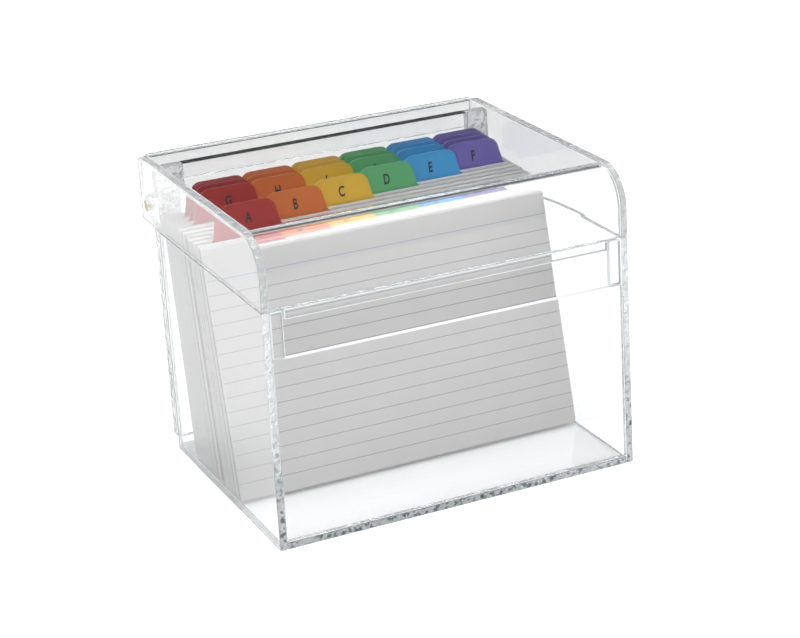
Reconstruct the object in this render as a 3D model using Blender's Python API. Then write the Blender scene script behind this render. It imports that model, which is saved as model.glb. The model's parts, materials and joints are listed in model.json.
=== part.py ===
"""Clear acrylic index card box with a hinged lid, ruled cards and 24 tabbed letter guides.

Frame: metres, +Z up, +X to the right, -Y is the front. The origin is at the middle of the
footprint, at the level that the box stands on.
"""

import math

import bmesh
import bpy
from mathutils import Vector

# ---------------------------------------------------------------- driving dimensions
BOX_W = 0.160              # outside width of base and lid
BASE_D = 0.117             # outside depth of the base walls
BASE_H = 0.100             # height of the side and rear walls
TOTAL_D = 0.137            # front face of the base to the rear edge of the lid
TOTAL_H = 0.1285           # underside of the base to the top of the lid
SHEET = 0.003              # acrylic sheet
GAP = 0.0003               # glue line, and clearance between pieces that touch
LID_GAP = 0.0004           # lid edge above the base walls

FRONT_WALL_H = 0.080       # the front wall stops here, to leave the finger opening
POST_W = 0.0053            # post at each end of the finger opening
LIP_DROP = 0.0043          # how far the lid's lip reaches below the lid's front edge
LIP_SIDE_GAP = 0.0006      # lip to post, on each side

BACK_PLATE_T = 0.0052      # thick plate behind the rear wall, which carries the hinge
BACK_PLATE_FOOT = 0.0056   # its lower edge above the underside of the base
BACK_PLATE_TOP = 0.1248    # its upper edge, just under the lid
HINGE_BLOCK_W = 0.0099     # hinge block at each end of that plate

PIVOT_BACK = 0.006         # hinge axis in front of the lid's rear edge
PIVOT_UP = 0.007           # hinge axis above the lid's lower edge
PIN_R = 0.002
PIN_LENGTH = 0.0095
LUG_R = 0.0055             # round end of the hinge block, about the pin
PIN_HOLE_R = PIN_R + GAP

BEND_R = 0.016             # outside radius of the lid's curved front
LID_REAR_R = 0.004         # rounded rear top corner of each lid cheek
REAR_STRIP_FOOT = 0.1132   # lower edge of the strip that closes the lid's rear

CARD_W = 0.1524            # ruled card, 6 in wide
CARD_H = 0.1045            # ruled card, a little over 4 in high
FRONT_LEAN = 13.3          # degrees that the front card leans back
REAR_LEAN = 8.5            # degrees that the last guide leans back, against the rear wall
GUIDE_T = 0.00045
TAB_H = 0.0113
TAB_FOOT_W = 0.0294        # tab where it leaves the guide
TAB_TOP_W = 0.0222         # tab along its upper edge
TAB_CORNER_R = 0.003
TAB_FIRST_X = -0.0690      # left foot of the first tab
TAB_PITCH = 0.02274        # from one tab position to the next
TAB_POSITIONS = 6
GUIDE_COUNT = 24

FRONT_CARDS_Y = 0.044      # front card's lower edge, behind the box's front face
FRONT_GUIDE_Y = 0.0528     # guide A's lower edge
FRONT_GUIDE_PITCH = 0.00514  # guides A to F, with a block of cards behind A to E
REAR_GUIDE_PITCH = 0.00109  # guides F to X
SPREAD_GUIDES = 5          # guides A to E stand apart, with cards behind them
REAR_CARDS_T = 0.0005

# ---------------------------------------------------------------- derived places
HALF_W = BOX_W / 2
INNER_X = HALF_W - SHEET
FRONT_Y = -TOTAL_D / 2
BASE_REAR_Y = FRONT_Y + BASE_D
LID_REAR_Y = FRONT_Y + TOTAL_D
FLOOR_Z = SHEET + GAP
LID_FOOT_Z = BASE_H - GAP + LID_GAP
PIVOT = Vector((0.0, LID_REAR_Y - PIVOT_BACK, LID_FOOT_Z + PIVOT_UP))
PLATE_FRONT_Y = BASE_REAR_Y + GAP
PLATE_REAR_Y = PLATE_FRONT_Y + BACK_PLATE_T
BLOCK_INNER_X = INNER_X - GAP - HINGE_BLOCK_W
ARC_STEPS = 12

ACRYLIC = dict(colour=(0.90, 0.93, 0.95), roughness=0.05, metallic=0.0)
BRASS = dict(colour=(0.70, 0.55, 0.28), roughness=0.30, metallic=1.0)
CARD = dict(colour=(0.90, 0.90, 0.89), roughness=0.75, metallic=0.0)
TAB_COLOURS = (
    ("tab_red", (0.52, 0.06, 0.06)),
    ("tab_orange", (0.72, 0.22, 0.06)),
    ("tab_yellow", (0.78, 0.52, 0.05)),
    ("tab_green", (0.08, 0.40, 0.17)),
    ("tab_blue", (0.05, 0.25, 0.60)),
    ("tab_purple", (0.20, 0.13, 0.46)),
)


# ---------------------------------------------------------------- helpers
def clear_scene():
    """Remove whatever the file starts with."""
    for old in list(bpy.data.objects):
        bpy.data.objects.remove(old, do_unlink=True)


def material(name, colour, roughness, metallic):
    """One Principled material per name."""
    found = bpy.data.materials.get(name)
    if found:
        return found
    made = bpy.data.materials.new(name)
    made.use_nodes = True
    shader = made.node_tree.nodes["Principled BSDF"]
    shader.inputs["Base Color"].default_value = (*colour, 1.0)
    shader.inputs["Roughness"].default_value = roughness
    shader.inputs["Metallic"].default_value = metallic
    made.diffuse_color = (*colour, 1.0)
    return made


def axis_empty(name, place):
    """An empty on a joint's axis, which the moving pieces hang on."""
    empty = bpy.data.objects.new(name, None)
    empty.location = place
    bpy.context.scene.collection.objects.link(empty)
    return empty


def add_object(name, bm, mat, axis=None, smooth=False):
    """Turn a bmesh in the part's frame into a named object, hung on its axis if it moves."""
    if axis:
        bmesh.ops.translate(bm, verts=bm.verts, vec=-axis.location)
    bmesh.ops.recalc_face_normals(bm, faces=bm.faces)
    mesh = bpy.data.meshes.new(name)
    bm.to_mesh(mesh)
    bm.free()
    mesh.materials.append(mat)
    if smooth:
        mesh.shade_smooth()
        mesh.set_sharp_from_angle(angle=math.radians(30))
    obj = bpy.data.objects.new(name, mesh)
    bpy.context.scene.collection.objects.link(obj)
    if axis:
        obj.parent = axis
    return obj


def box(name, low, high, mat, axis=None):
    """A plain panel between two corners."""
    bm = bmesh.new()
    bmesh.ops.create_cube(bm, size=1.0)
    low, high = Vector(low), Vector(high)
    bmesh.ops.scale(bm, verts=bm.verts, vec=high - low)
    bmesh.ops.translate(bm, verts=bm.verts, vec=(low + high) / 2)
    return add_object(name, bm, mat, axis)


def extrude_outline(outline, step):
    """A closed solid: an outline of 3-D points swept along one straight step."""
    bm = bmesh.new()
    face = bm.faces.new([bm.verts.new(point) for point in outline])
    swept = bmesh.ops.extrude_face_region(bm, geom=[face])
    moved = [item for item in swept["geom"] if isinstance(item, bmesh.types.BMVert)]
    bmesh.ops.translate(bm, verts=moved, vec=step)
    return bm


def side_profile(name, points_yz, x_low, x_high, mat, axis=None, smooth=False):
    """A Y-Z profile swept along X."""
    outline = [Vector((x_low, y, z)) for y, z in points_yz]
    bm = extrude_outline(outline, Vector((x_high - x_low, 0, 0)))
    return add_object(name, bm, mat, axis, smooth)


def arc(centre, radius, start, end, steps=ARC_STEPS):
    """Points on a circle, angles in degrees, both ends included."""
    angles = [math.radians(start + (end - start) * i / steps) for i in range(steps + 1)]
    return [(centre[0] + radius * math.cos(a), centre[1] + radius * math.sin(a)) for a in angles]


def mirrored(x_low, x_high, side):
    """The same span on the left (side -1) or right (side +1) of the middle."""
    return (x_low, x_high) if side > 0 else (-x_high, -x_low)


def cut_pin_hole(obj, axis):
    """A round hole for the pin, right through the piece along the hinge axis."""
    bpy.ops.mesh.primitive_cylinder_add(
        vertices=24, radius=PIN_HOLE_R, depth=4 * BOX_W, location=(0, 0, 0)
    )
    cutter = bpy.context.object
    cutter.name = "cutter_" + obj.name
    cutter.rotation_euler = (0, math.pi / 2, 0)
    cutter.location = PIVOT
    cutter.hide_render = True
    cutter.display_type = "WIRE"
    cut = obj.modifiers.new("pin_hole", "BOOLEAN")
    cut.operation = "DIFFERENCE"
    cut.solver = "EXACT"
    cut.object = cutter
    if axis:
        cutter.parent = axis
        cutter.location = PIVOT - axis.location


# ---------------------------------------------------------------- base
def build_base(acrylic):
    """Open-topped box of flat panels, with a low front wall between two posts."""
    inner = INNER_X - GAP
    box("base_bottom", (-inner, FRONT_Y, 0), (inner, BASE_REAR_Y, SHEET), acrylic)
    box(
        "base_front_panel",
        (-inner, FRONT_Y, FLOOR_Z),
        (inner, FRONT_Y + SHEET, FRONT_WALL_H - GAP),
        acrylic,
    )
    box(
        "base_rear_panel",
        (-inner, BASE_REAR_Y - SHEET, FLOOR_Z),
        (inner, BASE_REAR_Y, BASE_H - GAP),
        acrylic,
    )
    for label, side in (("left", -1), ("right", 1)):
        x_low, x_high = mirrored(INNER_X, HALF_W, side)
        box(
            f"base_{label}_side",
            (x_low, FRONT_Y, 0),
            (x_high, BASE_REAR_Y, BASE_H - GAP),
            acrylic,
        )
        x_low, x_high = mirrored(inner - POST_W, inner, side)
        box(
            f"front_{label}_post",
            (x_low, FRONT_Y, FRONT_WALL_H),
            (x_high, FRONT_Y + SHEET, BASE_H - 2 * GAP),
            acrylic,
        )


def build_hinge_plate(acrylic):
    """Thick plate behind the rear wall: full width below, narrower inside the lid."""
    shoulder = BASE_H - GAP
    outline_xz = [
        (-HALF_W, BACK_PLATE_FOOT),
        (HALF_W, BACK_PLATE_FOOT),
        (HALF_W, shoulder),
        (BLOCK_INNER_X - GAP, shoulder),
        (BLOCK_INNER_X - GAP, BACK_PLATE_TOP),
        (-BLOCK_INNER_X + GAP, BACK_PLATE_TOP),
        (-BLOCK_INNER_X + GAP, shoulder),
        (-HALF_W, shoulder),
    ]
    outline = [Vector((x, PLATE_FRONT_Y, z)) for x, z in outline_xz]
    bm = extrude_outline(outline, Vector((0, BACK_PLATE_T, 0)))
    add_object("hinge_back_plate", bm, acrylic)


def build_hinge_blocks(acrylic):
    """Block on each shoulder of the plate, with a round lug that holds the pin."""
    foot = BASE_H
    profile = [
        (PLATE_FRONT_Y, foot),
        (PLATE_FRONT_Y, BACK_PLATE_TOP),
        (PLATE_REAR_Y, BACK_PLATE_TOP),
        (PLATE_REAR_Y, PIVOT.z + LUG_R),
    ]
    profile += arc((PIVOT.y, PIVOT.z), LUG_R, 90, -90)
    profile += [(PLATE_REAR_Y, foot)]
    for label, side in (("left", -1), ("right", 1)):
        x_low, x_high = mirrored(BLOCK_INNER_X, INNER_X - GAP, side)
        block = side_profile(f"{label}_hinge_block", profile, x_low, x_high, acrylic)
        cut_pin_hole(block, None)


# ---------------------------------------------------------------- lid
def shell_profile():
    """Top, bend and front of the lid's one bent sheet, as a closed Y-Z outline."""
    centre = (FRONT_Y + BEND_R, TOTAL_H - BEND_R)
    outer = arc(centre, BEND_R, 90, 180)
    inner = arc(centre, BEND_R - SHEET, 180, 90)
    outer_ends = [(LID_REAR_Y, TOTAL_H)] + outer + [(FRONT_Y, LID_FOOT_Z)]
    inner_ends = [(FRONT_Y + SHEET, LID_FOOT_Z)] + inner + [(LID_REAR_Y, TOTAL_H - SHEET)]
    return outer_ends + inner_ends


def cheek_profile():
    """Outline of a lid cheek: it follows the bend at the front and is rounded at the rear."""
    bend = arc((FRONT_Y + BEND_R, TOTAL_H - BEND_R), BEND_R, 180, 90)
    rear = arc((LID_REAR_Y - LID_REAR_R, TOTAL_H - LID_REAR_R), LID_REAR_R, 90, 0, 5)
    return [(FRONT_Y, LID_FOOT_Z)] + bend + rear + [(LID_REAR_Y, LID_FOOT_Z)]


def build_lid(acrylic, brass):
    """Bent sheet between two cheeks, a rear strip, a front lip and the two hinge pins."""
    axis = axis_empty("lid_hinge_axis", PIVOT)
    inner = INNER_X - GAP
    side_profile("lid_curved_shell", shell_profile(), -inner, inner, acrylic, axis, True)
    box(
        "lid_rear_strip",
        (-inner, LID_REAR_Y - SHEET, REAR_STRIP_FOOT),
        (inner, LID_REAR_Y, TOTAL_H - SHEET - GAP),
        acrylic,
        axis,
    )
    lip_x = inner - POST_W - LIP_SIDE_GAP
    box(
        "lid_front_lip",
        (-lip_x, FRONT_Y, LID_FOOT_Z - GAP - LIP_DROP),
        (lip_x, FRONT_Y + SHEET, LID_FOOT_Z - GAP),
        acrylic,
        axis,
    )
    for label, side in (("left", -1), ("right", 1)):
        x_low, x_high = mirrored(INNER_X, HALF_W, side)
        name = f"lid_{label}_cheek"
        cheek = side_profile(name, cheek_profile(), x_low, x_high, acrylic, axis, True)
        cut_pin_hole(cheek, axis)
        x_low, x_high = mirrored(HALF_W - PIN_LENGTH, HALF_W, side)
        pin = arc((PIVOT.y, PIVOT.z), PIN_R, 0, 360 * 23 / 24, 23)
        side_profile(f"{label}_hinge_pin", pin, x_low, x_high, brass, axis, True)


# ---------------------------------------------------------------- cards and guides
def guide_place(index):
    """Distance of a guide's lower front edge behind the box's front face."""
    spread = min(index, SPREAD_GUIDES)
    close = max(index - SPREAD_GUIDES, 0)
    return FRONT_GUIDE_Y + spread * FRONT_GUIDE_PITCH + close * REAR_GUIDE_PITCH


def lean_at(place):
    """The sheets stand as a slight fan: the lean falls evenly from the front card to the last."""
    share = (place - FRONT_CARDS_Y) / (guide_place(GUIDE_COUNT - 1) - FRONT_CARDS_Y)
    return math.radians(FRONT_LEAN + (REAR_LEAN - FRONT_LEAN) * share)


def leaning(x, place, up, lean):
    """A point at a distance up a sheet whose lower front edge stands at a place on the floor."""
    y = FRONT_Y + place + up * math.sin(lean)
    return Vector((x, y, FLOOR_Z + GAP + up * math.cos(lean)))


def card_block(name, front, front_lean, rear, rear_lean, axis, mat):
    """A block of ruled cards between its front and rear faces, each with its own lean."""
    left = -CARD_W / 2
    outline = [
        leaning(left, front, 0, front_lean),
        leaning(left, rear, 0, rear_lean),
        leaning(left, rear, CARD_H, rear_lean),
        leaning(left, front, CARD_H, front_lean),
    ]
    bm = extrude_outline(outline, Vector((CARD_W, 0, 0)))
    add_object(name, bm, mat, axis)


def guide_outline(position):
    """Width and height points of a guide whose tab is in one of the six positions."""
    left = TAB_FIRST_X + position * TAB_PITCH
    flare = (TAB_FOOT_W - TAB_TOP_W) / 2
    middle = left + TAB_FOOT_W / 2
    top = CARD_H + TAB_H
    slope = math.degrees(math.atan2(TAB_H, flare))
    inset = TAB_CORNER_R * math.tan(math.radians(slope / 2))
    right_centre = (middle + TAB_TOP_W / 2 - inset, top - TAB_CORNER_R)
    left_centre = (middle - TAB_TOP_W / 2 + inset, top - TAB_CORNER_R)
    tab = [(left + TAB_FOOT_W, CARD_H)]
    tab += arc(right_centre, TAB_CORNER_R, 90 - slope, 90, 4)
    tab += arc(left_centre, TAB_CORNER_R, 90, 90 + slope, 4)
    tab += [(left, CARD_H)]
    half = CARD_W / 2
    return [(-half, 0), (half, 0), (half, CARD_H)] + tab + [(-half, CARD_H)]


def guide(name, position, place, axis, mat):
    """One tabbed guide sheet, leaning back."""
    lean = lean_at(place)
    outline = [leaning(x, place, up, lean) for x, up in guide_outline(position)]
    bm = extrude_outline(outline, Vector((0, GUIDE_T / math.cos(lean), 0)))
    add_object(name, bm, mat, axis)


def section_axis(name, place):
    """Tilting axis of one section: the lower front edge of its first sheet."""
    return axis_empty(name + "_axis", Vector((0, FRONT_Y + place, FLOOR_Z + GAP)))


def build_cards(card):
    """Front cards, five sections of guide and cards, the other guides, rear cards."""
    tabs = [material(name, colour, 0.45, 0.0) for name, colour in TAB_COLOURS]
    step = GUIDE_T / math.cos(lean_at(FRONT_CARDS_Y)) + GAP
    lean = lean_at(FRONT_CARDS_Y)
    first = guide_place(0)
    axis = section_axis("front_cards", FRONT_CARDS_Y)
    card_block(
        "front_cards", FRONT_CARDS_Y, lean, first - GAP, lean_at(first), axis, card
    )
    for index in range(GUIDE_COUNT):
        letter = chr(ord("a") + index)
        position = index % TAB_POSITIONS
        place = guide_place(index)
        if index <= SPREAD_GUIDES or position == 0:
            axis = section_axis("section_" + letter, place)
        guide("guide_" + letter, position, place, axis, tabs[position])
        if index < SPREAD_GUIDES:
            after = guide_place(index + 1)
            card_block(
                "cards_behind_" + letter,
                place + step,
                lean_at(place),
                after - GAP,
                lean_at(after),
                axis,
                card,
            )
    behind = place + step
    lean = lean_at(place)
    card_block("rear_cards", behind, lean, behind + REAR_CARDS_T, lean, axis, card)


def main():
    """Build every sub-part."""
    clear_scene()
    acrylic = material("clear_acrylic", **ACRYLIC)
    brass = material("brass_pin", **BRASS)
    card = material("card_stock", **CARD)
    build_base(acrylic)
    build_hinge_plate(acrylic)
    build_hinge_blocks(acrylic)
    build_lid(acrylic, brass)
    build_cards(card)


main()
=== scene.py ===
"""Looks of the clear acrylic index card box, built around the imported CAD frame.

Metres, +Z up, -Y is the front. The acrylic sheets, ruled cards and lettered guides are finer
meshes that stand for the CAD nodes; their places come from the frame.
"""

import json
import math
import random

import bmesh
import bpy
from mathutils import Matrix, Vector


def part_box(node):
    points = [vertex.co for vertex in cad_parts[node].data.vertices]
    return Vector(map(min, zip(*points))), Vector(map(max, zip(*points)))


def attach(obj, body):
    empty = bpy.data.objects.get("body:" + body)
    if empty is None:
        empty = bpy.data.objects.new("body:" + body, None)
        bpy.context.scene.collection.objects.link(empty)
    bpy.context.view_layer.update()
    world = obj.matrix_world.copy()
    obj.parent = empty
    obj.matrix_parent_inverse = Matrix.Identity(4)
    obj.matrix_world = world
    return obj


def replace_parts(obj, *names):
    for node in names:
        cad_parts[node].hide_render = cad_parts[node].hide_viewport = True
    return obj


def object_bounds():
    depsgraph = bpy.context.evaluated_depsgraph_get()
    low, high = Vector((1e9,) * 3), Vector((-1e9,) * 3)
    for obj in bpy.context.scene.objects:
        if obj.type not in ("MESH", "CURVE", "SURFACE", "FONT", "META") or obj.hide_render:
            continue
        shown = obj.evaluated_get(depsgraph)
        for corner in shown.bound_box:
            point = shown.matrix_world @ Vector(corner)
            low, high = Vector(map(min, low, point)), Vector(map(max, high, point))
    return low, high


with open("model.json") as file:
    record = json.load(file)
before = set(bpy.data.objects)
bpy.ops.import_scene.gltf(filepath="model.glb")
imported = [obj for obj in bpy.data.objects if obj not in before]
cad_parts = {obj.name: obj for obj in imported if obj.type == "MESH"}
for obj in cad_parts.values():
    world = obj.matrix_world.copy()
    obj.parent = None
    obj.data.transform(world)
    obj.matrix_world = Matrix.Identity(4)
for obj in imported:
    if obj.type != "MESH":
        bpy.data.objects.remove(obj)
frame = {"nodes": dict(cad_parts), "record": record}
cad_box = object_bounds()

random.seed(11)

# ---------------------------------------------------------------- driving values
CARD_H = 0.1045            # ruled card
CARD_T = 0.00032           # one sheet of card
LOOSE_PITCH = 0.00040      # loose cards stand about this far apart
PACKED = 0.80              # share of a block's depth filled with cards; the rest is open behind
MISSING = 0.10             # share of the loose cards that are left out, for uneven gaps
PITCH_SHIFT = 0.1          # a card stands up to this share of a pitch further forward or back
PITCH_FILLED = 0.85        # and takes at most this share of its pitch
BLOCK_SHIFT = 0.0004       # sideways, for a whole block
CARD_SHIFT = 0.0002        # and for each card in it
BAND = 10                  # loose cards in a band of the stack's side
BRIGHT_IN_BAND = 6         # the first cards of a band have bright side edges, the rest grey ones of painted shade
TAB_H = 0.0113             # tab above the card's top edge
RULE_PITCH = 0.00603       # between ruled lines
HEADER_DROP = 2.17         # header line below the top edge, in rule pitches
RULE_COUNT = 14            # ruled lines below the header line
RULE_HALF = 0.030          # half a line's width, in rule pitches
SHEET = 0.003              # acrylic sheet
BEND_R = 0.016             # outside radius of the lid's curved front
LID_REAR_R = 0.004         # rounded rear top corner of each lid cheek
PIN_HOLE_R = 0.0023
BEND_STEPS = 40            # facets of the lid's curve
ROUND_STEPS = 48           # facets round a pin and its hole
LETTER_H = 0.0043          # capital letters on the tabs
CAPITAL_SHARE = 0.70       # a capital's height as a share of the font's size
LETTER_WEIGHT = 0.045      # the outline is thickened by this share of the letter's height
LETTER_WIDTH = 0.64        # letters are narrowed to this share of their width
LETTER_PLACE = 0.44        # a letter's middle as a share of the tab's height
GUIDE_T = 0.00038          # sheet of a guide
EDGE_BEVEL = 0.00022       # polished arris of the acrylic
SCRAPED_BEVEL = 0.00045    # wider arris that is left white round the finger opening
INTO_GLUE = 0.0001         # a sheet grows this far into the glue line beside it
BOX_LOW = Vector(cad_box[0])

CAMERA_PLACE = (-0.3648, -0.8497, 0.4083)
CAMERA_ANGLES = (25.78, 19.86, -2.72)   # azimuth, elevation and roll, degrees
DARK_CARD = (0.035, 0.038, 0.038)       # black card behind the box that keeps glare off the lid
CARD_DIRECTION = (0.41, 0.85, 0.34)     # towards that card, low at the rear right
CARD_SPREAD = (0.90, 0.945)             # how near to it, as a cosine, the card begins and is full
HORIZON = (0.70, 0.71, 0.72)            # light that the box sees from low all round
ZENITH = (0.95, 0.95, 0.95)             # and from overhead
SKY_RISE = (0.30, 0.75)                 # upward part of a direction where one turns to the other
PAINTED_REFLECTION_TINT = (0.10, 0.14, 0.16)          # painted reflection: small dark dash marks on a sawn edge
PAINTED_REFLECTION_FADE = (0.060, 0.020)              # heights between which they grow from faint to full
FAINT_PAINTED_REFLECTION = 0.15
CLEAR_TINT = (0.995, 0.998, 1.0)
ACRYLIC_IOR = 1.49
LIGHT_BOUNCES = 160        # light runs along inside a sheet in many small reflections

TAB_COLOURS = {
    "tab_red": (0.460, 0.035, 0.035),
    "tab_orange": (0.720, 0.180, 0.035),
    "tab_yellow": (0.830, 0.520, 0.045),
    "tab_green": (0.130, 0.480, 0.190),
    "tab_blue": (0.060, 0.380, 0.760),
    "tab_purple": (0.190, 0.150, 0.500),
}


# ---------------------------------------------------------------- camera, floor and light
def aim_camera():
    """The camera stands at the front left, a little above the box."""
    data = bpy.data.cameras.new("camera")
    data.lens = 105.0
    data.sensor_width = 36.0
    data.sensor_fit = "HORIZONTAL"
    data.shift_x = -0.100
    data.shift_y = -0.049
    data.clip_end = 20.0
    azimuth, elevation, roll = (math.radians(a) for a in CAMERA_ANGLES)
    level = math.cos(elevation)
    forward = Vector((math.sin(azimuth) * level, math.cos(azimuth) * level, -math.sin(elevation)))
    side = forward.cross(Vector((0, 0, 1))).normalized()
    up = side.cross(forward)
    right = side * math.cos(roll) + up * math.sin(roll)
    up = right.cross(forward)
    camera = bpy.data.objects.new("camera", data)
    basis = Matrix((right, up, -forward)).transposed().to_4x4()
    camera.matrix_world = Matrix.Translation(CAMERA_PLACE) @ basis
    bpy.context.scene.collection.objects.link(camera)
    bpy.context.scene.camera = camera


def area_light(name, place, target, size, power):
    """A soft white rectangular light that points at a target."""
    data = bpy.data.lights.new(name, "AREA")
    data.shape = "RECTANGLE"
    data.size, data.size_y = size
    data.energy = power
    light = bpy.data.objects.new(name, data)
    light.location = place
    direction = Vector(target) - Vector(place)
    light.rotation_euler = direction.to_track_quat("-Z", "Y").to_euler()
    bpy.context.scene.collection.objects.link(light)


def world_light():
    """Light from all round: bright overhead, dimmer low down, one dark card, white to the eye."""
    world = bpy.data.worlds.new("studio")
    bpy.context.scene.world = world
    world.use_nodes = True
    tree = world.node_tree
    plain = tree.nodes["Background"]
    plain.inputs["Color"].default_value = (1, 1, 1, 1)
    plain.inputs["Strength"].default_value = 1.0
    lit = tree.nodes.new("ShaderNodeBackground")
    coords = tree.nodes.new("ShaderNodeTexCoord")
    split = tree.nodes.new("ShaderNodeSeparateXYZ")
    sky = mix_colour(tree, map_range(tree, split.outputs["Z"], *SKY_RISE), HORIZON, ZENITH)
    facing = tree.nodes.new("ShaderNodeVectorMath")
    facing.operation = "DOT_PRODUCT"
    facing.inputs[1].default_value = CARD_DIRECTION
    tree.links.new(coords.outputs["Generated"], facing.inputs[0])
    sky = mix_colour(tree, map_range(tree, facing.outputs["Value"], *CARD_SPREAD), sky, DARK_CARD)
    path = tree.nodes.new("ShaderNodeLightPath")
    mix = tree.nodes.new("ShaderNodeMixShader")
    tree.links.new(coords.outputs["Generated"], split.inputs["Vector"])
    tree.links.new(sky, lit.inputs["Color"])
    tree.links.new(path.outputs["Is Camera Ray"], mix.inputs["Fac"])
    tree.links.new(lit.outputs["Background"], mix.inputs[1])
    tree.links.new(plain.outputs["Background"], mix.inputs[2])
    tree.links.new(mix.outputs["Shader"], tree.nodes["World Output"].inputs["Surface"])


def studio():
    """White floor that glows slightly, under two soft overhead lights."""
    scene = bpy.context.scene
    scene.view_settings.view_transform = "Standard"
    scene.cycles.max_bounces = LIGHT_BOUNCES
    scene.cycles.transmission_bounces = LIGHT_BOUNCES
    scene.cycles.glossy_bounces = LIGHT_BOUNCES
    scene.cycles.transparent_max_bounces = 40
    world_light()

    floor_mat, tree, shader = new_material("studio_floor")
    shader.inputs["Base Color"].default_value = (0.93, 0.93, 0.93, 1)
    shader.inputs["Roughness"].default_value = 0.9
    shader.inputs["Specular IOR Level"].default_value = 0.1
    shader.inputs["Emission Color"].default_value = (1, 1, 1, 1)
    path = tree.nodes.new("ShaderNodeLightPath")
    seen = math_node(tree, "MULTIPLY", path.outputs["Is Camera Ray"], 0.25)
    glow = math_node(tree, "ADD", seen, 0.10)
    tree.links.new(glow, shader.inputs["Emission Strength"])
    bpy.ops.mesh.primitive_plane_add(size=8.0, location=(0, 0, BOX_LOW.z - 0.0001))
    floor = bpy.context.object
    floor.name = "studio_floor"
    floor.data.materials.append(floor_mat)

    area_light("top_softbox", (-0.3, 0.15, 1.5), (0, 0, 0.05), (2.4, 2.4), 10.0)
    area_light("bend_softbox", (0.62, 0.15, 1.5), (0, 0, 0.05), (0.9, 0.9), 9.0)


# ---------------------------------------------------------------- materials
def new_material(name):
    """A node material; returns it with its node tree and Principled shader."""
    made = bpy.data.materials.new(name)
    made.use_nodes = True
    tree = made.node_tree
    return made, tree, tree.nodes["Principled BSDF"]


def math_node(tree, operation, first, second):
    """A Math node; each input is a socket or a number."""
    node = tree.nodes.new("ShaderNodeMath")
    node.operation = operation
    for socket, value in zip(node.inputs, (first, second)):
        if isinstance(value, (int, float)):
            socket.default_value = value
        else:
            tree.links.new(value, socket)
    return node.outputs[0]


def map_range(tree, value, start, end):
    """0 at start and below, 1 at end and beyond."""
    node = tree.nodes.new("ShaderNodeMapRange")
    node.inputs["From Min"].default_value = start
    node.inputs["From Max"].default_value = end
    tree.links.new(value, node.inputs["Value"])
    return node.outputs["Result"]


def noise(tree, scale, detail, stretch=(1, 1, 1)):
    """Noise in the piece's own coordinates."""
    coords = tree.nodes.new("ShaderNodeTexCoord")
    mapping = tree.nodes.new("ShaderNodeMapping")
    mapping.inputs["Scale"].default_value = stretch
    texture = tree.nodes.new("ShaderNodeTexNoise")
    texture.inputs["Scale"].default_value = scale
    texture.inputs["Detail"].default_value = detail
    tree.links.new(coords.outputs["Object"], mapping.inputs["Vector"])
    tree.links.new(mapping.outputs["Vector"], texture.inputs["Vector"])
    return texture.outputs["Fac"]


def bump(tree, shader, height, strength, distance):
    """Feed a height into the shader's normal."""
    node = tree.nodes.new("ShaderNodeBump")
    node.inputs["Strength"].default_value = strength
    node.inputs["Distance"].default_value = distance
    tree.links.new(height, node.inputs["Height"])
    tree.links.new(node.outputs["Normal"], shader.inputs["Normal"])


def mix_colour(tree, factor, first, second):
    """Mix two colours; each is a socket or an RGB triple."""
    node = tree.nodes.new("ShaderNodeMix")
    node.data_type = "RGBA"
    tree.links.new(factor, node.inputs["Factor"])
    for socket, value in ((node.inputs["A"], first), (node.inputs["B"], second)):
        if isinstance(value, tuple):
            socket.default_value = (*value, 1)
        else:
            tree.links.new(value, socket)
    return node.outputs["Result"]


def acrylic_material(name, sawn):
    """Clear cast sheet; a sawn edge is slightly milky, with fine waves and small dark dash marks of
    painted reflection.
    """
    made, tree, shader = new_material(name)
    shader.inputs["Base Color"].default_value = (*CLEAR_TINT, 1)
    shader.inputs["Roughness"].default_value = 0.02 if sawn else 0.0
    shader.inputs["IOR"].default_value = ACRYLIC_IOR
    shader.inputs["Transmission Weight"].default_value = 0.80 if sawn else 1.0
    if sawn:
        waves = noise(tree, 420.0, 1.0)
        bump(tree, shader, waves, 1.0, 0.0016)
        # Painted reflection: small dark dash marks in the sawn edge, fuller towards the bottom.
        reflection_dashes = map_range(tree, noise(tree, 560.0, 1.0), 0.55, 0.60)
        coords = tree.nodes.new("ShaderNodeTexCoord")
        split = tree.nodes.new("ShaderNodeSeparateXYZ")
        tree.links.new(coords.outputs["Object"], split.inputs["Vector"])
        low = map_range(tree, split.outputs["Z"], *PAINTED_REFLECTION_FADE)
        shade = math_node(tree, "MULTIPLY", reflection_dashes, math_node(tree, "MAXIMUM", low, FAINT_PAINTED_REFLECTION))
        tint = mix_colour(tree, shade, CLEAR_TINT, PAINTED_REFLECTION_TINT)
        tree.links.new(tint, shader.inputs["Base Color"])
    else:
        bump(tree, shader, noise(tree, 18.0, 2.0), 0.03, 0.0004)
    output = tree.nodes["Material Output"]
    clear = tree.nodes.new("ShaderNodeBsdfTransparent")
    clear.inputs["Color"].default_value = (0.985, 0.99, 0.99, 1)
    path = tree.nodes.new("ShaderNodeLightPath")
    mix = tree.nodes.new("ShaderNodeMixShader")
    tree.links.new(path.outputs["Is Shadow Ray"], mix.inputs["Fac"])
    tree.links.new(shader.outputs["BSDF"], mix.inputs[1])
    tree.links.new(clear.outputs["BSDF"], mix.inputs[2])
    tree.links.new(mix.outputs["Shader"], output.inputs["Surface"])
    inside = tree.nodes.new("ShaderNodeVolumeAbsorption")
    inside.inputs["Color"].default_value = (0.70, 0.76, 0.77, 1)
    inside.inputs["Density"].default_value = 1.5
    tree.links.new(inside.outputs["Volume"], output.inputs["Volume"])
    return made


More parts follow.
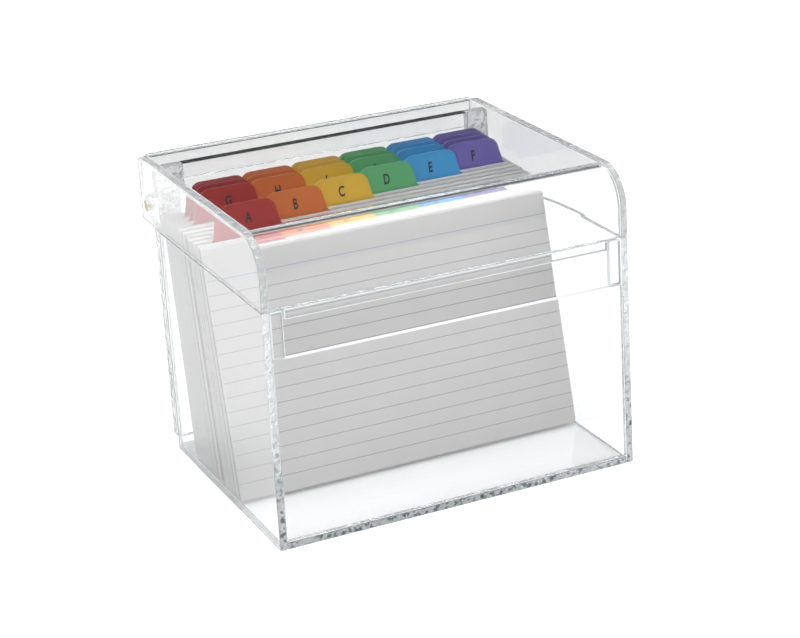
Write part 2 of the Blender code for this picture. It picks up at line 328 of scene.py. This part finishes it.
def scraped_edge_material():
    """Scraped edge that is left white where two sheets meet."""
    made, tree, shader = new_material("scraped_edge")
    marks = noise(tree, 500.0, 2.0)
    colour = mix_colour(tree, marks, (0.86, 0.88, 0.90), (0.98, 0.98, 0.98))
    tree.links.new(colour, shader.inputs["Base Color"])
    shader.inputs["Roughness"].default_value = 0.35
    shader.inputs["Transmission Weight"].default_value = 0.10
    shader.inputs["IOR"].default_value = ACRYLIC_IOR
    bump(tree, shader, marks, 0.3, 0.0002)
    return made


def painted_shade_edge_material():
    """Painted shade: near-black colour for the top edge of the hinge plate, which lies in the dark
    between the lid and the rear wall, and for the lid rear strip's front-top arris.
    """
    made, tree, shader = new_material("painted_shade_edge")
    cloud = noise(tree, 90.0, 2.0, (1, 6, 6))
    colour = mix_colour(tree, cloud, (0.008, 0.011, 0.010), (0.020, 0.025, 0.022))
    tree.links.new(colour, shader.inputs["Base Color"])
    shader.inputs["Roughness"].default_value = 0.6
    shader.inputs["Specular IOR Level"].default_value = 0.0
    return made


def brass_material():
    """Turned brass: fine rings round the pin and a little tarnish."""
    made, tree, shader = new_material("brass")
    tarnish = noise(tree, 900.0, 3.0)
    colour = mix_colour(tree, tarnish, (0.62, 0.45, 0.20), (0.82, 0.66, 0.36))
    tree.links.new(colour, shader.inputs["Base Color"])
    shader.inputs["Metallic"].default_value = 1.0
    rings = noise(tree, 1200.0, 1.0, (6, 0.3, 0.3))
    tree.links.new(math_node(tree, "MULTIPLY_ADD", rings, 0.25), shader.inputs["Roughness"])
    bump(tree, shader, rings, 0.3, 0.00003)
    return made


def card_material(name, ruled):
    """Uncoated white card, its face colour set darker than its cut edges as painted shade; its face
    carries a blue header line and grey ruled lines.
    """
    made, tree, shader = new_material(name)
    fibre = noise(tree, 2600.0, 3.0)
    cloud = noise(tree, 60.0, 2.0)
    # Painted shade: the card's face colour is set darker than the same card's near-white cut edges.
    painted_shade_paper = mix_colour(tree, cloud, (0.615, 0.605, 0.60), (0.665, 0.655, 0.65))
    colour = painted_shade_paper
    if ruled:
        coords = tree.nodes.new("ShaderNodeTexCoord")
        split = tree.nodes.new("ShaderNodeSeparateXYZ")
        tree.links.new(coords.outputs["Object"], split.inputs["Vector"])
        down = math_node(tree, "SUBTRACT", CARD_H, split.outputs["Z"])
        steps = math_node(tree, "DIVIDE", down, RULE_PITCH)
        shifted = math_node(tree, "SUBTRACT", steps, HEADER_DROP - 0.5)
        within = math_node(tree, "FRACT", shifted, 0)
        off = math_node(tree, "ABSOLUTE", math_node(tree, "SUBTRACT", within, 0.5), 0)
        line = math_node(tree, "LESS_THAN", off, RULE_HALF)
        started = math_node(tree, "GREATER_THAN", shifted, 0.0)
        ended = math_node(tree, "LESS_THAN", shifted, RULE_COUNT + 1.0)
        mask = math_node(tree, "MULTIPLY", math_node(tree, "MULTIPLY", line, started), ended)
        header = math_node(tree, "LESS_THAN", shifted, 1.0)
        ink = mix_colour(tree, header, (0.36, 0.365, 0.385), (0.33, 0.38, 0.52))
        colour = mix_colour(tree, mask, painted_shade_paper, ink)
    tree.links.new(colour, shader.inputs["Base Color"])
    shader.inputs["Roughness"].default_value = 0.75
    shader.inputs["Specular IOR Level"].default_value = 0.25
    bump(tree, shader, fibre, 0.12, 0.00002)
    return made


def cut_edge_material(name, darkest, lightest):
    """Slightly fuzzy cut edge of a sheet of card; its grey copy is painted shade."""
    made, tree, shader = new_material(name)
    fuzz = noise(tree, 3000.0, 2.0)
    colour = mix_colour(tree, fuzz, darkest, lightest)
    tree.links.new(colour, shader.inputs["Base Color"])
    shader.inputs["Roughness"].default_value = 0.8
    shader.inputs["Specular IOR Level"].default_value = 0.2
    bump(tree, shader, fuzz, 0.2, 0.00002)
    return made


def tab_material(slot, colour, cut=False):
    """Satin coloured laminate over the tab, with a faint grain; its cut edge is paler, partly the
    card's pale core and partly a painted highlight.
    """
    made, tree, shader = new_material(slot + "_cut_edge" if cut else slot)
    grain = noise(tree, 1500.0, 3.0)
    if cut:
        # Partly painted highlight: the cut edge's colour is lifted towards white beyond the card's
        # pale core.
        colour = tuple(0.50 * c + 0.45 for c in colour)
    darker = tuple(c * 0.90 for c in colour)
    lighter = tuple(min(1.0, c * 1.10) for c in colour)
    tree.links.new(mix_colour(tree, grain, darker, lighter), shader.inputs["Base Color"])
    shader.inputs["Roughness"].default_value = 0.42
    shader.inputs["Specular IOR Level"].default_value = 0.4
    bump(tree, shader, grain, 0.15, 0.00002)
    return made


def ink_material():
    """Dark grey printed letter."""
    made, tree, shader = new_material("letter_ink")
    wear = noise(tree, 1800.0, 2.0)
    colour = mix_colour(tree, wear, (0.020, 0.020, 0.020), (0.045, 0.045, 0.045))
    tree.links.new(colour, shader.inputs["Base Color"])
    shader.inputs["Roughness"].default_value = 0.6
    return made


ACRYLIC = acrylic_material("clear_acrylic", False)
SAWN_EDGE = acrylic_material("sawn_acrylic_edge", True)
SCRAPED_EDGE = scraped_edge_material()
PAINTED_SHADE_EDGE = painted_shade_edge_material()
BRASS = brass_material()
RULED = card_material("ruled_card", True)
PLAIN = card_material("plain_card", False)
CUT_EDGE = cut_edge_material("card_cut_edge", (0.86, 0.86, 0.865), (0.96, 0.96, 0.965))
PAINTED_SHADE_CARD_EDGE = cut_edge_material("card_edge_painted_shade", (0.30, 0.28, 0.32), (0.42, 0.40, 0.44))
INK = ink_material()
TABS = {slot: tab_material(slot, colour) for slot, colour in TAB_COLOURS.items()}
TAB_EDGES_WITH_HIGHLIGHT = {slot: tab_material(slot, colour, True) for slot, colour in TAB_COLOURS.items()}
NODE_BODY = {
    node: body
    for body, nodes in frame["record"]["behaviour"]["bodies"].items()
    for node in nodes
}
NODE_SLOT = {row["node"]: row["material_slot"] for row in frame["record"]["subparts"]}


# ---------------------------------------------------------------- mesh helpers
def add_piece(name, bm, mats, node, smooth_angle=10, place=None):
    """Turn a bmesh into a piece that rides with a CAD node's body."""
    bmesh.ops.recalc_face_normals(bm, faces=bm.faces)
    mesh = bpy.data.meshes.new(name)
    bm.to_mesh(mesh)
    bm.free()
    for mat in mats:
        mesh.materials.append(mat)
    mesh.shade_smooth()
    mesh.set_sharp_from_angle(angle=math.radians(smooth_angle))
    obj = bpy.data.objects.new(name, mesh)
    bpy.context.scene.collection.objects.link(obj)
    if place is not None:
        obj.matrix_world = place
    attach(obj, NODE_BODY[node])
    return obj


def bevel_edges(bm, width, segments=2, least_angle=30):
    """Round every edge sharper than the given angle."""
    sharp = [e for e in bm.edges if e.calc_face_angle(0) > math.radians(least_angle)]
    bmesh.ops.bevel(
        bm, geom=sharp, offset=width, segments=segments, profile=0.5, affect="EDGES",
        clamp_overlap=True,
    )


def sheet_piece(node, grow=(0, 0, 0)):
    """A flat acrylic sheet: the node's box, grown towards its neighbours, with polished arrises."""
    low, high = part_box(node)
    grow = Vector(grow)
    low, high = low - grow, high + grow
    bm = bmesh.new()
    bmesh.ops.create_cube(bm, size=1.0)
    bmesh.ops.scale(bm, verts=bm.verts, vec=high - low)
    bmesh.ops.translate(bm, verts=bm.verts, vec=(low + high) / 2)
    at_opening = node in ("lid_front_lip", "front_left_post", "front_right_post")
    bevel_edges(bm, SCRAPED_BEVEL if at_opening else EDGE_BEVEL)
    sizes = list(high - low)
    through = sizes.index(min(sizes))
    sawn_edges(bm, through)
    for face in bm.faces:
        rim = at_opening and abs(face.normal[through]) < 0.98
        wall_top = node == "base_front_panel" and face.normal.z > 0.8
        if rim or wall_top:
            face.material_index = 2
        # Painted shade: the strip's front-top arris takes the near-black edge material, a dark line
        # along it.
        if node == "lid_rear_strip" and face.normal.y < -0.2 and face.normal.z > 0.2:
            face.material_index = 3
    piece = add_piece(node + "_sheet", bm, [ACRYLIC, SAWN_EDGE, SCRAPED_EDGE, PAINTED_SHADE_EDGE], node)
    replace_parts(piece, node)


def sawn_edges(bm, through):
    """Give the second material to the faces that lie across a sheet's thickness axis."""
    bm.normal_update()
    for face in bm.faces:
        if abs(face.normal[through]) < 0.2:
            face.material_index = 1


def arc(centre, radius, start, end, steps):
    """Points on a circle, angles in degrees, both ends included."""
    angles = [math.radians(start + (end - start) * i / steps) for i in range(steps + 1)]
    return [(centre[0] + radius * math.cos(a), centre[1] + radius * math.sin(a)) for a in angles]


def flat_ends(curve, run=0.0006):
    """Carry an arc on along its tangents for a short run, so that the flats beside it stay flat."""
    (first, second), (before, last) = curve[:2], curve[-2:]

    def beyond(inner, outer):
        step = Vector(outer) - Vector(inner)
        axis = 0 if abs(step[0]) > abs(step[1]) else 1
        moved = list(outer)
        moved[axis] += math.copysign(run, step[axis])
        return tuple(moved)

    return [beyond(second, first)] + curve + [beyond(before, last)]


def swept_profile(points_yz, x_low, x_high):
    """A closed Y-Z profile swept along X."""
    bm = bmesh.new()
    face = bm.faces.new([bm.verts.new((x_low, y, z)) for y, z in points_yz])
    swept = bmesh.ops.extrude_face_region(bm, geom=[face])
    moved = [v for v in swept["geom"] if isinstance(v, bmesh.types.BMVert)]
    bmesh.ops.translate(bm, verts=moved, vec=(x_high - x_low, 0, 0))
    return bm


# ---------------------------------------------------------------- acrylic
def build_acrylic():
    """Base sheets, lid sheets and hinge pieces."""
    for node in ("base_bottom", "base_front_panel", "base_rear_panel"):
        sheet_piece(node, (INTO_GLUE, 0, 0))
    for node in ("base_left_side", "base_right_side", "front_left_post", "front_right_post"):
        sheet_piece(node)
    for node in ("lid_rear_strip", "lid_front_lip"):
        sheet_piece(node)
    for node, through in (("left_hinge_block", 0), ("right_hinge_block", 0), ("hinge_back_plate", 1)):
        finished_copy(node, through)
    build_lid_sheet()
    build_lid_cheeks()


def finished_copy(node, through):
    """A hinge part: the node's own shape with polished arrises; the plate's top, which lies in the
    dark, is painted near-black as shade.
    """
    bm = bmesh.new()
    bm.from_mesh(frame["nodes"][node].data)
    bmesh.ops.remove_doubles(bm, verts=bm.verts, dist=1e-6)
    bmesh.ops.dissolve_limit(bm, angle_limit=math.radians(1), verts=bm.verts, edges=bm.edges)
    bevel_edges(bm, EDGE_BEVEL)
    sawn_edges(bm, through)
    top = max(v.co.z for v in bm.verts)
    for face in bm.faces:
        face.smooth = True
        # Painted shade: the plate's top face takes the near-black edge material.
        if node == "hinge_back_plate" and face.calc_center_median().z > top - 1e-5:
            face.material_index = 2
    piece = add_piece(node + "_finished", bm, [ACRYLIC, SAWN_EDGE, PAINTED_SHADE_EDGE], node, 20)
    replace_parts(piece, node)


def build_lid_sheet():
    """The bent sheet, with a fine curve where it turns down at the front."""
    low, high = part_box("lid_curved_shell")
    centre = (low.y + BEND_R, high.z - BEND_R)
    outer = flat_ends(arc(centre, BEND_R, 90, 180, BEND_STEPS))
    inner = flat_ends(arc(centre, BEND_R - SHEET, 180, 90, BEND_STEPS))
    profile = [(high.y, high.z)] + outer + [(low.y, low.z)]
    profile += [(low.y + SHEET, low.z)] + inner + [(high.y, high.z - SHEET)]
    bm = swept_profile(profile, low.x - INTO_GLUE, high.x + INTO_GLUE)
    bevel_edges(bm, EDGE_BEVEL)
    bm.normal_update()
    for face in bm.faces:
        middle = face.calc_center_median()
        if abs(face.normal.x) > 0.8 or middle.y > high.y - 1e-5 or middle.z < low.z + 1e-5:
            face.material_index = 1
    piece = add_piece("lid_bent_sheet", bm, [ACRYLIC, SAWN_EDGE], "lid_curved_shell")
    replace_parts(piece, "lid_curved_shell")


def build_lid_cheeks():
    """Cheeks that follow the bend, each with its pin hole."""
    for side in ("left", "right"):
        node = f"lid_{side}_cheek"
        low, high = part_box(node)
        pin_low, pin_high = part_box(f"{side}_hinge_pin")
        pin = (pin_low + pin_high) / 2
        outline = [(low.y, low.z)]
        outline += arc((low.y + BEND_R, high.z - BEND_R), BEND_R, 180, 90, BEND_STEPS)
        outline += arc((high.y - LID_REAR_R, high.z - LID_REAR_R), LID_REAR_R, 90, 0, 12)
        outline += [(high.y, low.z)]
        bm = swept_profile(outline, low.x, high.x)
        bevel_edges(bm, EDGE_BEVEL)
        sawn_edges(bm, 0)
        piece = add_piece(f"lid_{side}_cheek_sheet", bm, [ACRYLIC, SAWN_EDGE], node)
        bpy.ops.mesh.primitive_cylinder_add(vertices=ROUND_STEPS, radius=PIN_HOLE_R, depth=0.02)
        cutter = bpy.context.object
        cutter.rotation_euler = (0, math.pi / 2, 0)
        cutter.location = ((low.x + high.x) / 2, pin.y, pin.z)
        bpy.context.view_layer.update()
        cut = piece.modifiers.new("pin_hole", "BOOLEAN")
        cut.object = cutter
        graph = bpy.context.evaluated_depsgraph_get()
        piece.data = bpy.data.meshes.new_from_object(piece.evaluated_get(graph))
        piece.modifiers.clear()
        bpy.data.objects.remove(cutter, do_unlink=True)
        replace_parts(piece, node)


def build_pins():
    """Turned pins, chamfered at both ends, with a slight dimple in the outer end."""
    inner_chamfer, outer_chamfer, dimple = 0.0004, 0.0006, 0.0004
    for side, sign in (("left", -1), ("right", 1)):
        node = f"{side}_hinge_pin"
        low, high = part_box(node)
        centre = (low + high) / 2
        radius = (high.z - low.z) / 2
        length = high.x - low.x
        profile = [(0.0, 0.0), (0.0, radius - inner_chamfer), (inner_chamfer, radius)]
        profile += [(length - outer_chamfer, radius), (length, radius - outer_chamfer)]
        profile += [(length, radius * 0.45), (length - dimple, radius * 0.25), (length - dimple, 0)]
        bm = bmesh.new()
        verts = [bm.verts.new((x, r, 0)) for x, r in profile]
        edges = [bm.edges.new(pair) for pair in zip(verts, verts[1:])]
        bmesh.ops.spin(
            bm, geom=verts + edges, cent=(0, 0, 0), axis=(1, 0, 0), angle=math.tau,
            steps=ROUND_STEPS, use_merge=True,
        )
        bmesh.ops.remove_doubles(bm, verts=bm.verts, dist=1e-6)
        inner_x = high.x if sign < 0 else low.x
        place = Matrix.Translation((inner_x, centre.y, centre.z)) @ Matrix.Diagonal((sign, 1, 1, 1))
        bm.transform(place)
        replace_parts(add_piece(node + "_turned", bm, [BRASS], node, 30), node)


# ---------------------------------------------------------------- cards and guides
def sheet_frame(node):
    """Lower front edge and lean of the sheet whose front face is the node's."""
    verts = [v.co for v in frame["nodes"][node].data.vertices]
    foot = min(verts, key=lambda p: (round(p.z, 5), p.y))
    level = [p for p in verts if p.z > foot.z + 0.5 * CARD_H]
    card_top = min(p.z for p in level)
    crest = min((p for p in level if p.z < card_top + 1e-5), key=lambda p: p.y)
    lean = math.atan2(crest.y - foot.y, crest.z - foot.z)
    return foot, lean


def leaning_place(x, y, z, lean):
    """Stands a sheet up at its lower front edge, leaning back."""
    return Matrix.Translation((x, y, z)) @ Matrix.Rotation(-lean, 4, "X")


def card_sheet(name, node, width, thick, place, mats):
    """One card, a thin sheet standing on its lower edge, with its own top and side edges."""
    columns, rows = 12, 8
    bm = bmesh.new()
    bmesh.ops.create_grid(bm, x_segments=columns, y_segments=rows, size=0.5)
    for vert in bm.verts:
        vert.co = Vector((vert.co.x * width, 0, (vert.co.y + 0.5) * CARD_H))
    faces = list(bm.faces)
    swept = bmesh.ops.extrude_face_region(bm, geom=faces)
    moved = [v for v in swept["geom"] if isinstance(v, bmesh.types.BMVert)]
    bmesh.ops.translate(bm, verts=moved, vec=(0, thick, 0))
    bm.normal_update()
    for face in bm.faces:
        if abs(face.normal.y) < 0.5:
            face.material_index = 2 if abs(face.normal.x) > 0.5 else 1
    return add_piece(name, bm, mats, node, 40, place)


def build_card_block(node, mat):
    """A block of loose cards: single sheets fanned between the block's two faces."""
    front, front_lean = sheet_frame(node)
    verts = [v.co for v in frame["nodes"][node].data.vertices]
    foot_y = max(p.y for p in verts if p.z < front.z + 1e-5)
    top = max(p.y for p in verts)
    top_z = [p.z for p in verts if p.y == top][0]
    rear_lean = math.atan2(top - foot_y, top_z - front.z)
    width = max(p.x for p in verts) - min(p.x for p in verts)
    depth = foot_y - front.y
    count = max(1, round(depth * PACKED / LOOSE_PITCH))
    step = PACKED / count
    shift = random.uniform(-BLOCK_SHIFT, BLOCK_SHIFT)
    for index in range(count):
        if index and random.random() < MISSING:
            continue
        moved = random.uniform(-PITCH_SHIFT, PITCH_SHIFT) if index else 0.0
        share = step * (index + moved)
        lean = front_lean + (rear_lean - front_lean) * share
        y = front.y + depth * share
        x = 0.0 if index == 0 else shift + random.uniform(-CARD_SHIFT, CARD_SHIFT)
        place = leaning_place(x, y, front.z, lean)
        thick = min(CARD_T, depth * step * PITCH_FILLED)
        # Painted shade: the later cards of each band get grey side edges, for dark gaps in the
        # stack's side.
        mats = [mat, CUT_EDGE, CUT_EDGE if index % BAND < BRIGHT_IN_BAND else PAINTED_SHADE_CARD_EDGE]
        card = card_sheet(f"{node}_{index + 1:02d}", node, width, thick, place, mats)
        if index == 0:
            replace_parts(card, node)


def guide_mesh(left, right, width, thick):
    """Guide sheet with a tab: body faces take the first material, tab faces the second."""
    corner = 0.0048
    foot_flare, flare_top, taper = 0.0010, 0.0012, 0.22
    neck_h = TAB_H - corner
    flare = foot_flare + taper * (neck_h - flare_top)
    strip = 0.005              # the tab's colour runs on below the card's top edge
    top = CARD_H + TAB_H
    half = width / 2
    base_z = CARD_H - strip

    def edge(side):
        """Side of the tab from its flared foot up to its rounded corner."""
        foot_x = left if side < 0 else right
        neck_x = foot_x - side * flare
        points = [(foot_x, CARD_H)]
        for angle in (30, 60, 90):
            turn = math.radians(angle)
            inward = foot_flare * math.sin(turn)
            points.append((foot_x - side * inward, CARD_H + flare_top * (1 - math.cos(turn))))
        centre = (neck_x - side * corner, top - corner)
        for angle in range(0, 91, 15):
            turn = math.radians(angle)
            points.append(
                (centre[0] + side * corner * math.cos(turn), centre[1] + corner * math.sin(turn))
            )
        return points

    body = [(-half, 0), (half, 0), (half, CARD_H), (right, CARD_H), (right - flare, base_z)]
    body += [(left + flare, base_z), (left, CARD_H), (-half, CARD_H)]
    tab = [(left + flare, base_z), (right - flare, base_z)] + edge(1) + list(reversed(edge(-1)))
    bm = bmesh.new()
    for outline, index in ((body, 0), (tab, 1)):
        face = bm.faces.new([bm.verts.new((x, 0, z)) for x, z in outline])
        face.material_index = index
    bmesh.ops.remove_doubles(bm, verts=bm.verts, dist=1e-6)
    swept = bmesh.ops.extrude_face_region(bm, geom=list(bm.faces))
    moved = [v for v in swept["geom"] if isinstance(v, bmesh.types.BMVert)]
    bmesh.ops.translate(bm, verts=moved, vec=(0, thick, 0))
    bm.normal_update()
    for face in bm.faces:
        if abs(face.normal.y) < 0.5:
            face.material_index = 2 if face.calc_center_median().z > CARD_H + 1e-5 else 3
    return bm


def letter_mesh(letter, height):
    """Condensed bold capital as a flat mesh in the X-Z plane, centred on its own middle."""
    curve = bpy.data.curves.new("letter", "FONT")
    curve.body = letter
    curve.size = height / CAPITAL_SHARE
    curve.offset = height * LETTER_WEIGHT
    curve.extrude = 0.000015
    text = bpy.data.objects.new("letter", curve)
    bpy.context.scene.collection.objects.link(text)
    bpy.context.view_layer.update()
    graph = bpy.context.evaluated_depsgraph_get()
    mesh = bpy.data.meshes.new_from_object(text.evaluated_get(graph))
    bpy.data.objects.remove(text, do_unlink=True)
    xs = [v.co.x for v in mesh.vertices]
    ys = [v.co.y for v in mesh.vertices]
    middle = Vector(((min(xs) + max(xs)) / 2, (min(ys) + max(ys)) / 2, 0))
    narrowed = Matrix.Diagonal((LETTER_WIDTH, 1, 1, 1))
    mesh.transform(Matrix.Rotation(math.pi / 2, 4, "X") @ narrowed @ Matrix.Translation(-middle))
    bm = bmesh.new()
    bm.from_mesh(mesh)
    return bm


def build_guide(node):
    """One lettered guide: white body, coloured tab and its capital letter."""
    foot, lean = sheet_frame(node)
    verts = [v.co for v in frame["nodes"][node].data.vertices]
    width = max(p.x for p in verts) - min(p.x for p in verts)
    card_top = foot.z + CARD_H * math.cos(lean)
    on_edge = sorted({round(p.x, 5) for p in verts if abs(p.z - card_top) < 2e-5})
    left, right = on_edge[1], on_edge[-2]
    place = leaning_place(0, foot.y, foot.z, lean)
    slot = NODE_SLOT[node]
    bm = guide_mesh(left, right, width, GUIDE_T)
    mats = [PLAIN, TABS[slot], TAB_EDGES_WITH_HIGHLIGHT[slot], CUT_EDGE]
    guide = add_piece(node + "_sheet", bm, mats, node, 30, place)
    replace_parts(guide, node)
    bm = letter_mesh(node[-1].upper(), LETTER_H)
    middle = Vector(((left + right) / 2, -0.00002, CARD_H + TAB_H * LETTER_PLACE))
    add_piece("letter_" + node[-1], bm, [INK], node, 30, place @ Matrix.Translation(middle))


def build_contents():
    """Every block of cards and every guide."""
    nodes = sorted(frame["nodes"])
    for node in nodes:
        if node.startswith("guide_"):
            build_guide(node)
    build_card_block("front_cards", RULED)
    for node in nodes:
        if node.startswith("cards_behind_") or node == "rear_cards":
            build_card_block(node, RULED)


aim_camera()
studio()
build_acrylic()
build_pins()
build_contents()
